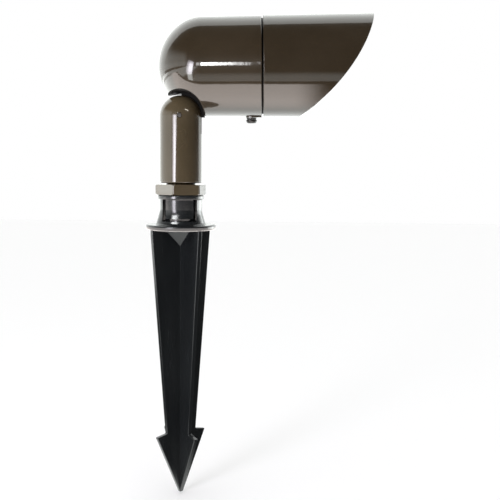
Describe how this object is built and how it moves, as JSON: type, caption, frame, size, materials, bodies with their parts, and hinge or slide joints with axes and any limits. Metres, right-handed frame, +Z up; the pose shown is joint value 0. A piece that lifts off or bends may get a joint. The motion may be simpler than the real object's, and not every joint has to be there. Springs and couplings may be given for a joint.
{
  "type": "ground stake spotlight",
  "caption": "Cylindrical landscape spotlight with a slanted glare cowl and domed rear, tilting on a round stem over a finned, barbed plastic ground stake.",
  "frame": {"origin": "on the stake axis at the underside of the round flange, which is ground level when the stake is driven in", "axes": "+Z up along the stake and stem, +X the way the lamp points, Y along the tilt pivot"},
  "size_m": [0.1545, 0.0696, 0.3374],
  "materials": {
    "stake_plastic": "glossy black moulded nylon, light scuffs",
    "bronze_paint": "glossy dark bronze powder paint on die-cast aluminium",
    "nut_paint": "dark bronze painted steel nut",
    "screw_steel": "stainless machine screw, dark passivated",
    "dark_screw": "blackened stainless screw and washer",
    "washer_nylon": "natural nylon friction washers",
    "seal_rubber": "black silicone rubber",
    "clear_glass": "clear tempered glass",
    "lamp_glass": "pressed glass with a metallised inside",
    "quartz": "clear quartz",
    "ceramic": "white steatite ceramic",
    "pin_metal": "nickel plated pins",
    "tungsten": "tungsten wire",
    "contact_brass": "brass spring sleeves",
    "zinc_steel": "zinc plated steel",
    "lead_sleeve": "woven glass-silicone sleeve",
    "cap_plastic": "moulded splice cap",
    "spring_steel": "spring steel ring"
  },
  "bodies": {
    "stake": {"ground_stake": "stake_plastic"},
    "stem": {"swivel_stem": "bronze_paint", "pivot_washers": "washer_nylon"},
    "locknut": {"stem_locknut": "nut_paint"},
    "pivot_screw": {"pivot_screw": "screw_steel"},
    "head": {"rear_housing": "bronze_paint", "wire_grommet": "seal_rubber", "lamp_reflector": "lamp_glass", "lamp_cover_glass": "clear_glass", "lamp_base": "ceramic", "lamp_pins": "pin_metal", "lamp_capsule": "quartz", "lamp_filament": "tungsten", "lamp_holder": "ceramic", "holder_contacts": "contact_brass", "holder_bracket": "zinc_steel", "bracket_screws": "zinc_steel", "lamp_leads": "lead_sleeve", "splice_caps": "cap_plastic"},
    "cowl_seal": {"cowl_o_ring": "seal_rubber"},
    "cowl": {"glare_cowl": "bronze_paint", "lens": "clear_glass", "lens_gasket": "seal_rubber", "lens_retaining_ring": "spring_steel"},
    "lock_washer": {"lock_screw_washer": "dark_screw"},
    "lock_screw": {"cowl_lock_screw": "dark_screw"}
  },
  "joints": [
    {"name": "stem_pan", "type": "hinge", "parent": "stake", "child": "stem", "pos_m": [0, 0, 0.0241], "axis": [0, 0, 1], "range_deg": [-180, 180]},
    {"name": "locknut_turn", "type": "hinge", "parent": "stem", "child": "locknut", "pos_m": [0, 0, 0.0276], "axis": [0, 0, 1], "range_deg": [0, 180]},
    {"name": "head_tilt", "type": "hinge", "parent": "stem", "child": "head", "pos_m": [0, 0, 0.0779], "axis": [0, -1, 0], "range_deg": [-28, 90]},
    {"name": "pivot_screw_turn", "type": "hinge", "parent": "stem", "child": "pivot_screw", "pos_m": [0, 0, 0.0779], "axis": [0, 1, 0], "range_deg": [0, 180]},
    {"name": "cowl_slide", "type": "slide", "parent": "head", "child": "cowl_seal", "axis": [0.9998, 0, 0.0175], "range_m": [0, 0.035]},
    {"name": "cowl_turn", "type": "hinge", "parent": "cowl_seal", "child": "cowl", "pos_m": [0.04241, 0, 0.11195], "axis": [0.9998, 0, 0.0175], "continuous": true},
    {"name": "lock_washer_slide", "type": "slide", "parent": "head", "child": "lock_washer", "axis": [0.0175, 0, -0.9998], "range_m": [0, 0.003]},
    {"name": "lock_screw_turn", "type": "hinge", "parent": "lock_washer", "child": "lock_screw", "pos_m": [0.04866, 0, 0.07505], "axis": [0.0175, 0, -0.9998], "range_deg": [0, 1545]}
  ],
  "couplings": [
    {"joint": "lock_screw_turn", "follows": "lock_washer_slide", "rad_per_m": 8976}
  ]
}
